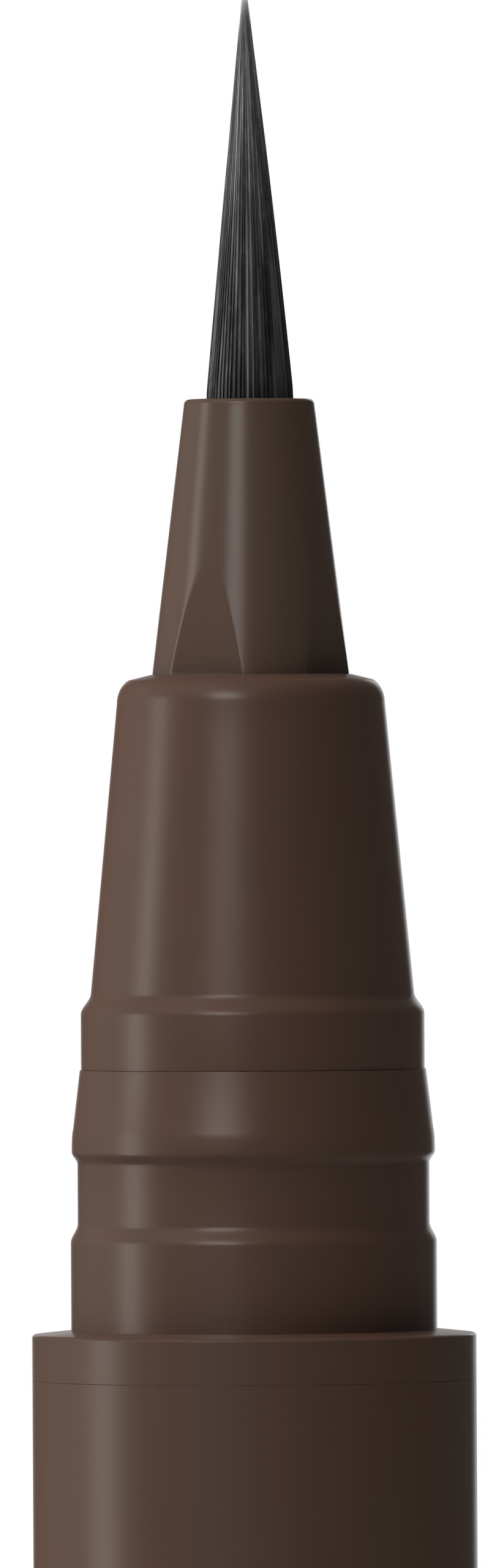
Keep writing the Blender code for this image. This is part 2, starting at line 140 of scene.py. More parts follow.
# Tail plug and cap
flange_height = 1.2 * MM
flange_corner = 0.15 * MM
post_chamfer = 0.3 * MM
post_wall = 0.9 * MM
post_roof = 1.6 * MM
cap_mouth_edge = 0.1 * MM
cap_wall_share = 0.6
cap_play = 0.05 * MM
base_corner = 0.35 * MM
base_dish = 0.12 * MM
base_rim = 1.1 * MM
hold_wall_share = 0.6
liner_floor = 0.7 * MM
liner_room = 0.6 * MM
liner_well_wall = 0.6 * MM
liner_well_drop = 0.77 * MM
liner_lead = 0.3 * MM
liner_inset = 0.1 * MM
liner_cone = 0.8 * MM
liner_ridge_gap = 0.06 * MM
liner_ridge_height = 0.7 * MM

# Brush tuft: its filaments, its shape, and how neighbouring filaments gather and share a tone that partly
# paints highlight streaks
strand_count = 760
strand_points = 14
strand_sides = 4
strand_seed = 8
strand_fill_share = 1.12
strand_end_share = 0.2
strand_point_share = 0.2
shortest_share = 0.72
tuft_tip_share = 0.05
tuft_foot_depth = 1.0 * MM
tuft_spread_share = 1.035
tuft_lean = 0.075 * MM
tuft_lean_power = 1.6
tuft_base_shift = 0.015 * MM
clump_depth_share = 0.05
clump_middle = 0.75
clump_scale = 2.6
clump_rise_scale = 1.2
clump_sheen_tone_scale = 3.4
clump_sheen_tone_rise_scale = 2.6
golden_angle = math.pi * (3.0 - math.sqrt(5.0))

# How edges are eased: the turn that makes a corner, the most that its rounding takes of a run, how many edges
# away the point past the rounding stands, and the most of the run that lies before that point
corner_turn = math.radians(18)
corner_share = 0.4
apron_edges = 2.2
apron_share = 0.48

# Colours, as linear values: those of a moulding are its plain, warm, cool and edge shades, the edge shade
# lighter for scuffing and a painted edge highlight
brown_shades = (
    (0.107, 0.0590, 0.0423, 1.0),
    (0.121, 0.0555, 0.0395, 1.0),
    (0.094, 0.0632, 0.0456, 1.0),
    (0.190, 0.125, 0.100, 1.0),
)
nose_shades = (
    (0.110, 0.0680, 0.0500, 1.0),
    (0.122, 0.0635, 0.0460, 1.0),
    (0.098, 0.0715, 0.0535, 1.0),
    (0.190, 0.125, 0.100, 1.0),
)
natural_shades = (
    (0.72, 0.71, 0.67, 1.0),
    (0.75, 0.72, 0.64, 1.0),
    (0.68, 0.69, 0.68, 1.0),
    (0.72, 0.71, 0.67, 1.0),
)
rubber_shades = (
    (0.030, 0.030, 0.032, 1.0),
    (0.045, 0.043, 0.042, 1.0),
    (0.024, 0.025, 0.028, 1.0),
    (0.045, 0.043, 0.042, 1.0),
)
filament_root_dark = (0.022, 0.022, 0.025, 1.0)
filament_root_light = (0.092, 0.092, 0.102, 1.0)
filament_tip_dark = (0.200, 0.198, 0.200, 1.0)
filament_tip_light = (0.640, 0.635, 0.630, 1.0)
fibre_shaded = (0.50, 0.46, 0.39, 1.0)
fibre_lit = (0.72, 0.69, 0.62, 1.0)
steel_dark = (0.50, 0.50, 0.52, 1.0)
steel_light = (0.66, 0.66, 0.68, 1.0)

# Noise textures: their usual detail and roughness, and the part of their range that they mostly fill
noise_detail = 2.0
rich_detail = 3.0
cloud_detail = 4.0
noise_roughness = 0.5
noise_range = (0.3, 0.7)
unit_range = (0.0, 1.0)

# Patterns that the finishes share: scales per metre, and stretches along the pen
drift_scale = 300.0
drift_stretch = (1.0, 1.0, 0.22)
drift_roughness = 0.55
drift_range = (0.34, 0.66)
drift_amount = 0.6
ripple_scale = 500.0
ripple_stretch = (1.0, 1.0, 0.35)
grain_scale = 9000.0
grain_share = 0.25
cloud_scale_share = 0.6
break_scale = 1500.0
break_range = (0.4, 0.62)
streak_roughness = 0.6

# Moulded finishes by slot: name, shades, roughness, how far that wanders, how much scuffing and painted edge
# highlight, and the skin's height
moulded_looks = {
    "pen_plastic": ("satin_brown_plastic", brown_shades, 0.305, 0.022, 0.35, 0.0012 * MM),
    "nose_plastic": ("nose_brown_plastic", nose_shades, 0.23, 0.03, 0.3, 0.001 * MM),
    "inner_plastic": ("natural_plastic", natural_shades, 0.42, 0.05, 0.0, 0.004 * MM),
    "seal_rubber": ("seal_rubber", rubber_shades, 0.62, 0.06, 0.4, 0.006 * MM),
}
usual_specular = 0.5

# Filaments
filament_roughness = 0.36
filament_specular = 1.0
filament_roughness_range = (0.28, 0.5)
filament_specular_range = (0.2, 0.9)
filament_clump_range = (0.46, 0.66)
filament_tone_spread = 0.24
filament_fade_power = 2.2
filament_streak = {"Across": 5200.0, "Along share": 0.06}
filament_relief = 0.006 * MM
# Painted glints: fine stretched flecks that lighten the filaments' colour
painted_glint_scale = 8500.0
painted_glint_stretch = (1.0, 1.0, 0.3)
painted_glint_range = (0.5, 0.66)
painted_glint_share = 0.24

# Feed fibre and steel ball
fibre_roughness = 0.85
fibre_streak = {"Across": 11000.0, "Along share": 0.04}
fibre_relief = 0.02 * MM
steel_roughness = 0.2
steel_roughness_range = (0.12, 0.26)
steel_skin = {"Ripple": 2500.0, "Grain": 16000.0}

# Nodes that keep their shape and take a finish, with their slots
kept_nodes = {
    "brush_bush": "inner_plastic",
    "collector": "inner_plastic",
    "ink_tank": "inner_plastic",
    "neck_seal": "seal_rubber",
    "tail_seal": "seal_rubber",
    "feed_rod": "feed_fibre",
    "mixing_ball": "ball_steel",
}

# Studio
floor_reach = 6.0
floor_colour = (0.84, 0.84, 0.83, 1.0)
floor_roughness = 0.9
floor_glow_share = 0.35
floor_fade = (0.06, 0.45)
plain_white = (1.0, 1.0, 1.0, 1.0)
hood_radius = 1.2
hood_bottom = -1.0
hood_top = 1.6
hood_step = 4
window_top = 0.4
window_half_turn = 12
hood_colour = (0.055, 0.055, 0.055, 1.0)
fill_level = 0.025

# Lamps: azimuth and elevation in degrees, distance, width and height in metres, radiance, what sees them
lamps = {
    "high_key": (-60, 60, 0.6, 0.40, 0.40, 4.3, "diffuse"),
    "side_key": (-120, 10, 0.6, 0.45, 0.60, 4.2, "diffuse"),
    "front_soft": (-52, 28, 0.6, 0.45, 0.40, 1.35, "diffuse"),
    "front_top": (0, 60, 0.6, 0.40, 0.40, 0.65, "diffuse"),
    "overhead": (0, 90, 0.6, 0.40, 0.40, 0.5, "diffuse"),
    "back_soft": (165, 20, 0.6, 0.45, 0.60, 2.4, "diffuse"),
    "left_strip": (-84.5, -4, 0.5, 0.125, 0.34, 2.5, "gloss"),
    "front_strip": (-20, 20, 0.5, 0.180, 0.16, 2.2, "gloss"),
    "top_sheen": (-60, 60, 0.6, 0.40, 0.25, 1.4, "gloss"),
    "shoulder_spot": (-25, 30, 0.5, 0.18, 0.20, 2.6, "gloss"),
    "back_strip": (166, 0, 0.5, 0.05, 0.40, 2.0, "gloss"),
}
plain_tint = (1.0, 1.0, 1.0)
lamp_tints = {
    "side_key": (1.0, 1.12, 1.15),
    "high_key": (1.0, 0.96, 0.94),
    "left_strip": (1.05, 1.05, 0.95),
}

# Kinds of node tree, and sockets that share a name: the Mix node's colours and the random number's ends
shape_tree = "GeometryNodeTree"
shader_tree = "ShaderNodeTree"
mix_first = 6
mix_second = 7
mix_colour = 2
random_low = 2
random_high = 3
random_number = 1


def span(node):
    """The lowest height, the highest height and the radius of a round node."""
    low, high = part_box(node)
    return low.z, high.z, high.x


# Heights and radii that follow from the frame
shell_bottom, shell_top, ring_radius = span("front_shell")
nose_bottom, nose_top, flange_radius = span("nose_cone")
neck_bottom, tongue_top, collar_radius = span("neck")
brush_bottom, brush_top, brush_radius = span("brush_tip")
mouth_bottom, mouth_top, barrel_radius = span("centre_ring")
barrel_bottom, barrel_top, _ = span("barrel")
plug_bottom, plug_top, _ = span("tail_plug")
cap_bottom, cap_mouth, _ = span("cap_shell")
liner_bottom, liner_top, liner_radius = span("inner_cap")
_, base_hold_top, _ = span("cap_end")
brush_bore = brush_radius + play
nose_tip_radius = brush_bore + nose_tip_wall
nose_base_radius = brush_bore + nose_base_wall
shell_bore = flange_radius + play
shell_top_radius = shell_bore + shell_wall
bead_top_radius = ring_radius + bead_top_proud
bead_radius = bead_top_radius + bead_swell
recess_radius = bead_radius - recess_depth
tongue_radius = shell_bore + tongue_step
neck_bore = recess_radius - neck_wall
barrel_bore = collar_radius + play
ring_sleeve_radius = barrel_bore + ring_sleeve_share * (barrel_radius - barrel_bore)
neck_top = shell_bottom - play
bead_bottom = neck_top - bead_height
recess_top = bead_bottom - undercut_height
recess_bottom = recess_top - recess_height
collar_top = recess_bottom - collar_step_height
seal_floor = collar_radius - seal_depth_share * (collar_radius - neck_bore)
flange_top = barrel_bottom - play
flange_bottom = flange_top - flange_height
base_top = cap_bottom - play
cap_bore = barrel_radius - cap_wall_share * (barrel_radius - collar_radius - cap_play)
liner_seal_bore = ring_radius + cap_play
liner_well_bore = liner_seal_bore - liner_well_drop
liner_well_radius = liner_well_bore + liner_well_wall


def arc(centre, radii, start, end, steps=arc_steps):
    """Points of an elliptical arc from start to end degrees, both ends included."""
    angles = [math.radians(start + (end - start) * step / steps) for step in range(steps + 1)]
    return [
        (centre[0] + radii[0] * math.cos(angle), centre[1] + radii[1] * math.sin(angle))
        for angle in angles
    ]


def sway(start, end, steps=arc_steps):
    """Points of an S-shaped curve between two (radius, height) points, both ends included."""
    points = []
    for step in range(steps + 1):
        share = step / steps
        swing = 0.5 - 0.5 * math.cos(math.pi * share)
        points.append((start[0] + (end[0] - start[0]) * swing, start[1] + (end[1] - start[1]) * share))
    return points


def taper(start, end, steps):
    """Evenly spaced points of a straight run, both ends included."""
    return [
        tuple(a + (b - a) * step / steps for a, b in zip(start, end)) for step in range(steps + 1)
    ]


def swell(start, bulge, end, steps):
    """Points of a smooth curve that leaves start and meets end by way of the bulge point."""
    points = []
    for step in range(steps + 1):
        share = step / steps
        weights = ((1 - share) ** 2, 2 * share * (1 - share), share**2)
        points.append(
            tuple(sum(w * p[axis] for w, p in zip(weights, (start, bulge, end))) for axis in range(2))
        )
    return points


def runs_round(outline):
    """Whether a half section closes on itself: one that starts on the axis is open there."""
    return outline[0][0] > 0.0


def part_way(point, run, reach, most):
    """The point a reach along a run, but no more than a share of it."""
    return point + run.normalized() * min(reach, most * run.length)


def eased(outline, usual_edge):
    """The outline with its corners rounded, as (radius, height, edge mark) points: the mark is 1 on a corner,
    where scuffing and a painted edge highlight lighten the colour.

    A point of the outline may carry an edge of its own as a third value.
    """
    points = [Vector(point[:2]) for point in outline]
    loose_ends = () if runs_round(outline) else (0, len(points) - 1)
    made = []
    for index, point in enumerate(points):
        runs = (points[index - 1] - point, points[(index + 1) % len(points)] - point)
        if index in loose_ends or math.pi - runs[0].angle(runs[1]) < corner_turn:
            made.append((*point, 0.0))
            continue
        edge = outline[index][2] if len(outline[index]) > 2 else usual_edge
        start, end = (part_way(point, run, edge, corner_share) for run in runs)
        aprons = [part_way(point, run, apron_edges * edge, apron_share) for run in runs]
        made.append((*aprons[0], 0.0))
        for step, rounded in enumerate(swell(start, point, end, edge_steps)):
            made.append((*rounded, 1.0 - (2.0 * step / edge_steps - 1.0) ** 2))
        made.append((*aprons[1], 0.0))
    return made


def feed(tree, node, feeds):
    """Links or sets the inputs of a node."""
    for key, value in feeds.items():
        socket = node.inputs[key]
        if isinstance(value, bpy.types.NodeSocket):
            tree.links.new(value, socket)
        else:
            socket.default_value = value


def add(tree, kind, feeds=None, **settings):
    """One node of a tree, with its settings made and its inputs linked or set."""
    node = tree.nodes.new(kind)
    for setting, value in settings.items():
        setattr(node, setting, value)
    feed(tree, node, feeds or {})
    return node


def output_of(tree, kind, feeds=None, **settings):
    """The first output of a new node."""
    return add(tree, kind, feeds, **settings).outputs[0]


def maths(tree, operation, *values):
    """The result of a Math node."""
    return output_of(tree, "ShaderNodeMath", dict(enumerate(values)), operation=operation)


def times(tree, first, second):
    """The product of two numbers."""
    return maths(tree, "MULTIPLY", first, second)


def xyz(tree, x=0.0, y=0.0, z=0.0):
    """The vector of three numbers."""
    return output_of(tree, "ShaderNodeCombineXYZ", {"X": x, "Y": y, "Z": z})


def stretched(tree, place, stretch):
    """A place drawn out by a share along each axis."""
    return output_of(tree, "ShaderNodeVectorMath", {0: place, 1: stretch}, operation="MULTIPLY")


def noise(tree, place, scale, detail=noise_detail, roughness=noise_roughness):
    """The value of a Noise texture."""
    feeds = {"Vector": place, "Scale": scale, "Detail": detail, "Roughness": roughness}
    return output_of(tree, "ShaderNodeTexNoise", feeds)


def ranged(tree, value, source=unit_range, target=unit_range, **settings):
    """A value moved from one range to another and kept inside it."""
    feeds = dict(enumerate((value, *source, *target)))
    return output_of(tree, "ShaderNodeMapRange", feeds, **settings)


def blend(tree, share, first, second):
    """The second colour laid over the first by a share."""
    feeds = {"Factor": share, mix_first: first, mix_second: second}
    return add(tree, "ShaderNodeMix", feeds, data_type="RGBA").outputs[mix_colour]


def relief(tree, height, distance):
    """The normal of a bumpy surface."""
    return output_of(tree, "ShaderNodeBump", {"Height": height, "Strength": 1.0, "Distance": distance})


def surface_value(tree, label):
    """A number that the mesh carries, for a material."""
    return add(tree, "ShaderNodeAttribute", attribute_name=label, attribute_type="GEOMETRY").outputs["Fac"]


def effect(tree, group, feeds):
    """The outputs of a shader group placed in a material with its own values."""
    return add(tree, "ShaderNodeGroup", feeds, node_tree=group).outputs


def stored(tree, shape, label, value):
    """The shape with a number stored on each of its points."""
    feeds = {"Geometry": shape, "Name": label, "Value": value}
    return output_of(tree, "GeometryNodeStoreNamedAttribute", feeds, data_type="FLOAT", domain="POINT")


def recalled(tree, label):
    """A number that was stored on each point of a shape."""
    return output_of(tree, "GeometryNodeInputNamedAttribute", {"Name": label}, data_type="FLOAT")


def place_parts(tree):
    """The X, Y and Z of each point of a shape."""
    place = output_of(tree, "GeometryNodeInputPosition")
    return add(tree, "ShaderNodeSeparateXYZ", {"Vector": place}).outputs


def new_tree(name, kind, takes, gives):
    """A node tree with named sockets: the tree, what its group input gives, and its group output node."""
    tree = bpy.data.node_groups.new(name, kind)
    for label, socket_kind, *start in takes:
        socket = tree.interface.new_socket(label, in_out="INPUT", socket_type="NodeSocket" + socket_kind)
        if start:
            socket.default_value = start[0]
    for label, socket_kind in gives:
        tree.interface.new_socket(label, in_out="OUTPUT", socket_type="NodeSocket" + socket_kind)
    return tree, tree.nodes.new("NodeGroupInput").outputs, tree.nodes.new("NodeGroupOutput")


def end_shape(tree, shape, given, result, label):
    """Ends a Geometry Nodes tree with real copies and their finish."""
    real = output_of(tree, "GeometryNodeRealizeInstances", {"Geometry": shape})
    finished = output_of(tree, "GeometryNodeSetMaterial", {"Geometry": real, "Material": given["Finish"]})
    feed(tree, result, {label: finished})


def turning_inputs(sides):
    """What a tree that turns a half section is given."""
    return [
        ("Outline", "Geometry"),
        ("Sides", "Int", sides),
        ("Spindle", "Float", spindle),
        ("Weld", "Float", weld_reach),
        ("Finish", "Material"),
    ]


def turning_tree():
    """Geometry Nodes that turn a half section, drawn as (radius, height) edges, into a solid about Z."""
    takes = turning_inputs(fine_sides)
    tree, given, result = new_tree("turned_solid", shape_tree, takes, [("Solid", "Geometry")])
    section = output_of(tree, "GeometryNodeMeshToCurve", {"Mesh": given["Outline"]})
    inward = xyz(tree, times(tree, given["Spindle"], -1.0))
    moved = {"Geometry": section, "Translation": inward, "Scale": (1.0, -1.0, 1.0)}
    profile = output_of(tree, "GeometryNodeTransform", moved)
    round_once = {"Resolution": given["Sides"], "Radius": given["Spindle"]}
    turn = output_of(tree, "GeometryNodeCurvePrimitiveCircle", round_once)
    swept = output_of(tree, "GeometryNodeCurveToMesh", {"Curve": turn, "Profile Curve": profile})
    welded = output_of(tree, "GeometryNodeMergeByDistance", {"Geometry": swept, "Distance": given["Weld"]})
    end_shape(tree, welded, given, result, "Solid")
    return tree


def flatted_tree(turned):
    """The turned solid with flats round it, whose edges are a little soft."""
    slope = (nose_base_radius - nose_tip_radius) / (nose_top - shell_top)
    turning = turning_inputs(nose_sides)
    flats = [
        ("Flats", "Int", flat_count),
        ("Turn", "Float", flat_turn),
        ("Foot height", "Float", shell_top + play / 2.0),
        ("Foot reach", "Float", nose_base_radius - flat_depth),
        ("Lean", "Float", flat_depth / flat_height - slope),
        ("Softness", "Float", flat_softness),
    ]
    tree, given, result = new_tree("flatted_solid", shape_tree, turning + flats, [("Solid", "Geometry")])
    passed_on = {label: given[label] for label, *_ in turning}
    solid = output_of(tree, "GeometryNodeGroup", passed_on, node_tree=turned)
    x, y, z = place_parts(tree)
    squares = maths(tree, "ADD", maths(tree, "POWER", x, 2.0), maths(tree, "POWER", y, 2.0))
    radius = maths(tree, "SQRT", squares)
    bearing = maths(tree, "ARCTAN2", x, times(tree, y, -1.0))
    ahead = maths(tree, "DIVIDE", math.pi, given["Flats"])
    behind = times(tree, ahead, -1.0)
    from_flat = maths(tree, "WRAP", maths(tree, "SUBTRACT", bearing, given["Turn"]), ahead, behind)
    above_foot = maths(tree, "SUBTRACT", z, given["Foot height"])
    reach = maths(tree, "MULTIPLY_ADD", above_foot, given["Lean"], given["Foot reach"])
    chord = maths(tree, "DIVIDE", reach, maths(tree, "COSINE", from_flat))
    cut = maths(tree, "SMOOTH_MIN", radius, chord, given["Softness"])
    share = maths(tree, "DIVIDE", cut, radius)
    moved = xyz(tree, times(tree, x, share), times(tree, y, share), z)
    is_nose = maths(tree, "GREATER_THAN", above_foot, 0.0)
    feeds = {"Geometry": solid, "Selection": is_nose, "Position": moved}
    end_shape(tree, output_of(tree, "GeometryNodeSetPosition", feeds), given, result, "Solid")
    return tree


def planted_strands(tree, given):
    """Straight filaments, one unit long, on a disc one unit in radius, each with its reach and tone."""
    index = output_of(tree, "GeometryNodeInputIndex")
    ring_share = maths(tree, "SQRT", maths(tree, "DIVIDE", maths(tree, "ADD", index, 0.5), given["Strands"]))
    bearing = times(tree, index, golden_angle)
    across, along = (
        times(tree, ring_share, maths(tree, side, bearing)) for side in ("COSINE", "SINE")
    )
    spots = {"Count": given["Strands"], "Position": xyz(tree, across, along)}
    feet = output_of(tree, "GeometryNodePoints", spots)
    draws = (("strand_reach", given["Shortest share"], 0.0), ("strand_tone", 0.0, 1.0))
    for label, low, seed_step in draws:
        seed = maths(tree, "ADD", given["Seed"], seed_step)
        feeds = {random_low: low, random_high: 1.0, "ID": index, "Seed": seed}
        draw = add(tree, "FunctionNodeRandomValue", feeds, data_type="FLOAT").outputs[random_number]
        feet = stored(tree, feet, label, draw)
    ends = {"Start": (0.0, 0.0, 0.0), "End": (0.0, 0.0, 1.0)}
    line = output_of(tree, "GeometryNodeCurvePrimitiveLine", ends)
    strand = output_of(tree, "GeometryNodeResampleCurve", {"Curve": line, "Count": strand_points})
    planted = output_of(tree, "GeometryNodeInstanceOnPoints", {"Points": feet, "Instance": strand})
    return output_of(tree, "GeometryNodeRealizeInstances", {"Geometry": planted})


def shared_by_neighbours(tree, x, y, scale, along):
    """A noise that is alike in filaments that stand together, and changes along them."""
    place = xyz(tree, times(tree, x, scale), times(tree, y, scale), along)
    return noise(tree, place, 1.0)


def strand_shape(tree, given):
    """Where each point of a filament goes, and what it keeps: its width, its rise and its clump's tone, which
    partly paints highlight streaks.
    """
    x, y, z = place_parts(tree)
    full = maths(tree, "SUBTRACT", given["Top"], given["Foot"])
    unit_height = times(tree, z, recalled(tree, "strand_reach"))
    height = maths(tree, "MULTIPLY_ADD", unit_height, full, given["Foot"])
    free = maths(tree, "SUBTRACT", given["Top"], given["Neck"])
    above_neck = maths(tree, "SUBTRACT", height, given["Neck"])
    risen = maths(tree, "MAXIMUM", maths(tree, "DIVIDE", above_neck, free), 0.0)
    drawn_in = maths(tree, "MULTIPLY_ADD", risen, maths(tree, "SUBTRACT", given["Tip share"], 1.0), 1.0)
    clump = shared_by_neighbours(tree, x, y, clump_scale, times(tree, risen, clump_rise_scale))
    gather = times(tree, maths(tree, "SUBTRACT", clump, clump_middle), given["Clump depth"])
    spread = times(tree, drawn_in, maths(tree, "ADD", gather, 1.0))
    spacing = maths(tree, "DIVIDE", given["Radius"], maths(tree, "SQRT", given["Strands"]))
    thickness = times(tree, times(tree, spacing, drawn_in), strand_fill_share)
    inset = times(tree, thickness, -1.0)
    bunch_radius = maths(tree, "MULTIPLY_ADD", given["Radius"], given["Spread share"], inset)
    disc = times(tree, bunch_radius, spread)
    leaning = times(tree, given["Lean"], -1.0)
    bend = maths(tree, "POWER", risen, tuft_lean_power)
    sideways = maths(tree, "MULTIPLY_ADD", bend, leaning, given["Base shift"])
    side_place = maths(tree, "MULTIPLY_ADD", x, disc, sideways)
    grown = xyz(tree, side_place, times(tree, y, disc), height)
    along = add(tree, "GeometryNodeSplineParameter").outputs["Factor"]
    pointed = ranged(tree, along, (1.0 - strand_end_share, 1.0), (1.0, strand_point_share))
    tone_rise = maths(tree, "MULTIPLY_ADD", risen, clump_sheen_tone_rise_scale, given["Seed"])
    kept = {
        "strand_width": times(tree, thickness, pointed),
        "strand_rise": risen,
        # The clump's tone: partly the filaments' own tone, partly painted highlight streaks
        "clump_tone_and_sheen": shared_by_neighbours(tree, x, y, clump_sheen_tone_scale, tone_rise),
    }
    return grown, kept


def tuft_tree():
    """Geometry Nodes that plant filaments on a disc and draw them together to a point."""
    takes = [
        ("Root", "Geometry"),
        ("Strands", "Int", strand_count),
        ("Radius", "Float", brush_radius),
        ("Foot", "Float", brush_bottom),
        ("Neck", "Float", nose_top),
        ("Top", "Float", brush_top),
        ("Tip share", "Float", tuft_tip_share),
        ("Shortest share", "Float", shortest_share),
        ("Spread share", "Float", tuft_spread_share),
        ("Lean", "Float", tuft_lean),
        ("Base shift", "Float", tuft_base_shift),
        ("Clump depth", "Float", clump_depth_share),
        ("Seed", "Int", strand_seed),
        ("Finish", "Material"),
    ]
    tree, given, result = new_tree("filament_tuft", shape_tree, takes, [("Tuft", "Geometry")])
    strands = planted_strands(tree, given)
    grown, kept = strand_shape(tree, given)
    for label, value in kept.items():
        strands = stored(tree, strands, label, value)
    bundle = output_of(tree, "GeometryNodeSetPosition", {"Geometry": strands, "Position": grown})
    rim = output_of(tree, "GeometryNodeCurvePrimitiveCircle", {"Resolution": strand_sides, "Radius": 1.0})
    width = recalled(tree, "strand_width")
    tubes = {"Curve": bundle, "Profile Curve": rim, "Scale": width, "Fill Caps": True}
    joined = add(tree, "GeometryNodeJoinGeometry")
    for source in (given["Root"], output_of(tree, "GeometryNodeCurveToMesh", tubes)):
        tree.links.new(source, joined.inputs[0])
    end_shape(tree, joined.outputs[0], given, result, "Tuft")
    return tree


def hue_drift_group():
    """Slow changes of hue along a moulding, as drawn-out patches of a warmer and a cooler shade."""
    takes = [
        ("Place", "Vector"),
        ("Colour", "Color"),
        ("Warm", "Color"),
        ("Cool", "Color"),
        ("Patches", "Float", drift_scale),
        ("Amount", "Float", drift_amount),
    ]
    tree, given, result = new_tree("hue_drift", shader_tree, takes, [("Colour", "Color")])
    drawn_out = stretched(tree, given["Place"], drift_stretch)
    patches = noise(tree, drawn_out, given["Patches"], rich_detail, drift_roughness)
    shade = blend(tree, ranged(tree, patches, drift_range), given["Cool"], given["Warm"])
    feed(tree, result, {"Colour": blend(tree, given["Amount"], given["Colour"], shade)})
    return tree


def moulded_skin_group():
    """The faint ripple and fine texture of a moulded surface, and how its gloss wanders."""
    takes = [
        ("Place", "Vector"),
        ("Ripple", "Float", ripple_scale),
        ("Grain", "Float", grain_scale),
        ("Grain share", "Float", grain_share),
    ]
    gives = [("Height", "Float"), ("Gloss", "Float")]
    tree, given, result = new_tree("moulded_skin", shader_tree, takes, gives)
    along = stretched(tree, given["Place"], ripple_stretch)
    ripple = noise(tree, along, given["Ripple"])
    grain = noise(tree, given["Place"], given["Grain"])
    cloud = noise(tree, along, times(tree, given["Ripple"], cloud_scale_share), cloud_detail)
    height = maths(tree, "MULTIPLY_ADD", grain, given["Grain share"], ripple)
    feed(tree, result, {"Height": height, "Gloss": cloud})
    return tree


def edge_scuff_and_sheen_group():
    """Scuffing and a painted edge highlight that follow the rounded edges and break up along them."""
    takes = [
        ("Place", "Vector"),
        ("Edge", "Float", 0.0),
        ("Colour", "Color"),
        ("Rubbed", "Color"),
        ("Breaks", "Float", break_scale),
        ("Amount", "Float", 0.0),
    ]
    gives = [("Colour", "Color"), ("Mask", "Float")]
    tree, given, result = new_tree("edge_scuff_and_sheen", shader_tree, takes, gives)
    breaks = noise(tree, given["Place"], given["Breaks"], rich_detail)
    broken = times(tree, given["Edge"], ranged(tree, breaks, break_range))
    mask = times(tree, broken, given["Amount"])
    feed(tree, result, {"Colour": blend(tree, mask, given["Colour"], given["Rubbed"]), "Mask": mask})
    return tree


def fibre_streak_group():
    """Fine streaks that run along drawn fibres."""
    takes = [("Place", "Vector"), ("Across", "Float", 1.0), ("Along share", "Float", 1.0)]
    tree, given, result = new_tree("fibre_streak", shader_tree, takes, [("Streak", "Float")])
    drawn = stretched(tree, given["Place"], xyz(tree, 1.0, 1.0, given["Along share"]))
    feed(tree, result, {"Streak": noise(tree, drawn, given["Across"], rich_detail, streak_roughness)})
    return tree


def new_material(name):
    """A material with its own node tree."""
    material = bpy.data.materials.new(name)
    material.use_nodes = True
    return material, material.node_tree


def new_finish(name, roughness, metallic=0.0, specular=usual_specular):
    """A material with its shader's plain values set: its tree, its shader and its object coordinates."""
    material, tree = new_material(name)
    shader = tree.nodes["Principled BSDF"]
    feed(tree, shader, {"Roughness": roughness, "Metallic": metallic, "Specular IOR Level": specular})
    return material, tree, shader, add(tree, "ShaderNodeTexCoord").outputs["Object"]


def moulded_finish(groups, name, shades, roughness, wander, scuff_and_sheen_share, skin_height):
    """Moulded plastic: drifting hue, edges lightened by scuffing and a painted highlight, wandering gloss and
    a faint skin.
    """
    plain, warm, cool, scuff_and_sheen = shades
    material, tree, shader, place = new_finish(name, roughness)
    hues = {"Place": place, "Colour": plain, "Warm": warm, "Cool": cool}
    # The corners take the lighter edge shade: scuffing and a painted edge highlight
    scuff_and_sheen_feeds = {
        "Place": place,
        "Edge": surface_value(tree, "scuff_and_sheen"),
        "Colour": effect(tree, groups["hue_drift"], hues)["Colour"],
        "Rubbed": scuff_and_sheen,
        "Amount": scuff_and_sheen_share,
    }
    scuffed_and_sheened = effect(tree, groups["edge_scuff_and_sheen"], scuff_and_sheen_feeds)
    skin = effect(tree, groups["moulded_skin"], {"Place": place})
    gloss = ranged(tree, skin["Gloss"], noise_range, (roughness - wander, roughness + wander))
    looks = {
        "Base Color": scuffed_and_sheened["Colour"],
        "Roughness": maths(tree, "MULTIPLY_ADD", scuffed_and_sheened["Mask"], -wander, gloss),
        "Normal": relief(tree, skin["Height"], skin_height),
    }
    feed(tree, shader, looks)
    return material


def filament_finish(groups):
    """Ink-black filaments, each a little lighter or darker than the next, streaked along their length, with
    lighter clumps that are partly tone and partly painted highlight streaks, and painted glints.
    """
    material, tree, shader, place = new_finish(
        "black_filament", filament_roughness, specular=filament_specular
    )
    labels = ("strand_tone", "clump_tone_and_sheen", "strand_rise")
    tone, clump, rise = (surface_value(tree, label) for label in labels)
    streak = effect(tree, groups["fibre_streak"], {"Place": place, **filament_streak})["Streak"]
    # Painted glints: fine flecks that lighten the colour
    painted_glint = ranged(tree, noise(tree, stretched(tree, place, painted_glint_stretch), painted_glint_scale), painted_glint_range)
    # Lighter clumps: partly their own tone, partly painted highlight streaks
    lit_clump = ranged(tree, clump, filament_clump_range)
    lit_clump = maths(tree, "MULTIPLY_ADD", painted_glint, painted_glint_share, lit_clump)
    varied = times(tree, maths(tree, "SUBTRACT", tone, 0.5), filament_tone_spread)
    lightness = output_of(tree, "ShaderNodeClamp", {"Value": maths(tree, "ADD", lit_clump, varied)})
    root_shade = blend(tree, lightness, filament_root_dark, filament_root_light)
    tip_shade = blend(tree, lightness, filament_tip_dark, filament_tip_light)
    faded = maths(tree, "POWER", rise, filament_fade_power)
    looks = {
        "Base Color": blend(tree, faded, root_shade, tip_shade),
        "Roughness": ranged(tree, streak, noise_range, filament_roughness_range),
        "Specular IOR Level": ranged(tree, lightness, target=filament_specular_range),
        "Normal": relief(tree, streak, filament_relief),
    }
    feed(tree, shader, looks)
    return material


